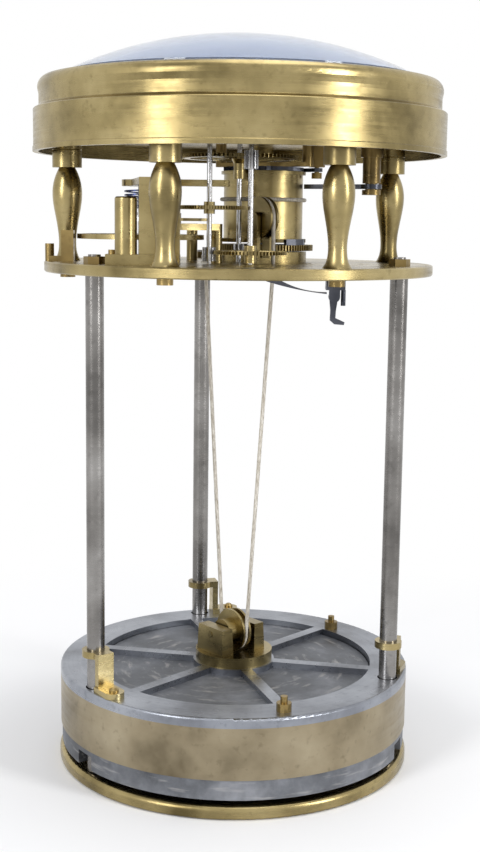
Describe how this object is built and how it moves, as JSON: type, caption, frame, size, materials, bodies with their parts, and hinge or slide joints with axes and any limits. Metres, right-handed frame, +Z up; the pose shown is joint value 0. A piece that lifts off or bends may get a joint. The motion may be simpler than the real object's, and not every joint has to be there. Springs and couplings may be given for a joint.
{
  "type": "marine chronometer",
  "caption": "Weight-driven marine timekeeper: horizontal glazed dial over an open movement, and a round lead weight that slides on upright guide rods above a disc base.",
  "frame": {"origin": "centre of the base's flat underside", "axes": "+Z up along the guide rods, towards the dial; +X to the viewer's right in the picture; +Y away from the viewer"},
  "size_m": [0.13, 0.13, 0.233],
  "materials": {
    "brass": "satin, with fine turning marks and light tarnish",
    "steel": "bluish grey, bright drawn",
    "blued_steel": "blued",
    "hand_steel": "blued, polished",
    "dial_face": "silvered white with black figures",
    "glass": "clear, polished",
    "lead": "dull cast lead, scratched",
    "cord": "twisted cord"
  },
  "bodies": {
    "frame": {"base_plate": "brass", "guide_rod_left": "steel", "guide_rod_right": "steel", "guide_rod_back": "steel", "movement_plate": "brass", "pillar_left": "brass", "pillar_front_left": "brass", "pillar_front_right": "brass", "pillar_right": "brass", "pillar_back": "brass", "top_plate": "brass", "frame_fasteners": "steel", "dial": "dial_face", "return_bracket": "brass", "cord_runs": "cord", "cord_upper": "cord", "escape_bridge": "brass", "balance_cock": "brass", "balance_spring": "blued_steel", "drum_bridge": "brass", "stop_post": "brass", "lever_block": "steel", "lever_spring": "steel", "balance_stop": "steel"},
    "bezel": {"bezel": "brass", "crystal": "glass"},
    "weight": {"weight_lead": "lead", "weight_shell": "brass", "weight_top_plate": "brass", "guide_brackets": "brass", "weight_fasteners": "steel", "pulley_block": "brass", "cord_at_weight": "cord"},
    "weight_pulley": {"weight_pulley": "brass"},
    "return_pulley": {"return_pulley": "brass"},
    "drum": {"cord_drum": "brass", "winding_arbor": "steel", "cord_on_drum": "cord"},
    "great_wheel": {"great_wheel": "brass"},
    "click": {"click": "steel"},
    "centre": {"centre_arbor": "steel", "centre_wheel": "brass", "cannon_pinion": "steel", "minute_hand": "hand_steel"},
    "minute_wheel": {"minute_wheel": "brass"},
    "hour": {"hour_wheel": "brass", "hour_hand": "hand_steel"},
    "third": {"third_arbor": "steel", "third_wheel": "brass"},
    "fourth": {"fourth_arbor": "steel", "fourth_wheel": "brass", "seconds_hand": "hand_steel"},
    "escape": {"escape_arbor": "steel", "escape_wheel": "brass"},
    "balance": {"balance_wheel": "brass", "balance_staff": "steel"},
    "detent": {"detent": "steel"},
    "holding_click": {"holding_click": "steel"},
    "stop_arm": {"stop_arm": "steel"},
    "hooked_lever": {"hooked_lever": "steel"}
  },
  "joints": [
    {"name": "weight_slide", "type": "slide", "parent": "frame", "child": "weight", "axis": [0, 0, 1], "range_m": [0, 0.1072], "deforming": ["cord_runs"]},
    {"name": "weight_pulley_turn", "type": "hinge", "parent": "weight", "child": "weight_pulley", "pos_m": [0, 0, 0.041], "axis": [0.766, 0.6428, 0], "range_deg": [-1000, 0]},
    {"name": "return_pulley_turn", "type": "hinge", "parent": "frame", "child": "return_pulley", "pos_m": [0.00712, -0.00519, 0.1769], "axis": [0.7813, 0.6241, 0], "range_deg": [-2100, 0]},
    {"name": "drum_turn", "type": "hinge", "parent": "frame", "child": "drum", "pos_m": [0.0079, 0.0157, 0.18], "axis": [0, 0, 1], "range_deg": [-905, 0]},
    {"name": "fourth_turn", "type": "hinge", "parent": "frame", "child": "fourth", "pos_m": [-0.00909, -0.01969, 0.18], "axis": [0, 0, 1], "continuous": true},
    {"name": "great_wheel_turn", "type": "hinge", "parent": "frame", "child": "great_wheel", "pos_m": [0.0079, 0.0157, 0.167], "axis": [0, 0, 1], "continuous": true},
    {"name": "click_pivot", "type": "hinge", "parent": "great_wheel", "child": "click", "pos_m": [0.02066, 0.00773, 0.1688], "axis": [0, 0, 1], "range_deg": [0, 5]},
    {"name": "centre_turn", "type": "hinge", "parent": "frame", "child": "centre", "pos_m": [0, 0, 0.19], "axis": [0, 0, 1], "continuous": true},
    {"name": "minute_wheel_turn", "type": "hinge", "parent": "frame", "child": "minute_wheel", "pos_m": [-0.00846, 0.00308, 0.206], "axis": [0, 0, 1], "continuous": true},
    {"name": "hour_turn", "type": "hinge", "parent": "frame", "child": "hour", "pos_m": [0, 0, 0.208], "axis": [0, 0, 1], "continuous": true},
    {"name": "third_turn", "type": "hinge", "parent": "frame", "child": "third", "pos_m": [0.00351, -0.01969, 0.18], "axis": [0, 0, 1], "continuous": true},
    {"name": "escape_turn", "type": "hinge", "parent": "frame", "child": "escape", "pos_m": [-0.01954, -0.01267, 0.178], "axis": [0, 0, 1], "continuous": true},
    {"name": "balance_swing", "type": "hinge", "parent": "frame", "child": "balance", "pos_m": [-0.03099, -0.00497, 0.175], "axis": [0, 0, 1], "range_deg": [-170, 170]},
    {"name": "detent_pivot", "type": "hinge", "parent": "frame", "child": "detent", "pos_m": [-0.02024, 0.00708, 0.177], "axis": [0, 0, 1], "range_deg": [-2.5, 0]},
    {"name": "holding_click_pivot", "type": "hinge", "parent": "frame", "child": "holding_click", "pos_m": [0.0254, 0.0162, 0.1927], "axis": [0, 0, 1], "range_deg": [0, 8]},
    {"name": "stop_arm_pivot", "type": "hinge", "parent": "frame", "child": "stop_arm", "pos_m": [0.0425, 0.006, 0.187], "axis": [0, 0, 1], "range_deg": [-12, 0]},
    {"name": "hooked_lever_pivot", "type": "hinge", "parent": "frame", "child": "hooked_lever", "pos_m": [0.028, -0.0405, 0.1543], "axis": [0, -1, 0], "range_deg": [0, 8]},
    {"name": "bezel_lift", "type": "slide", "parent": "frame", "child": "bezel", "axis": [0, 0, 1], "range_m": [0, 0.05]}
  ],
  "couplings": [
    {"joint": "weight_pulley_turn", "follows": "weight_slide", "rad_per_m": -161.29},
    {"joint": "return_pulley_turn", "follows": "weight_slide", "rad_per_m": -338.98},
    {"joint": "drum_turn", "follows": "weight_slide", "rad_per_m": -146.52},
    {"joint": "third_turn", "follows": "fourth_turn", "ratio": -0.16667},
    {"joint": "centre_turn", "follows": "fourth_turn", "ratio": 0.016667},
    {"joint": "great_wheel_turn", "follows": "fourth_turn", "ratio": -0.0013889},
    {"joint": "minute_wheel_turn", "follows": "fourth_turn", "ratio": -0.0055556},
    {"joint": "hour_turn", "follows": "fourth_turn", "ratio": 0.0013889},
    {"joint": "escape_turn", "follows": "fourth_turn", "ratio": -10}
  ]
}
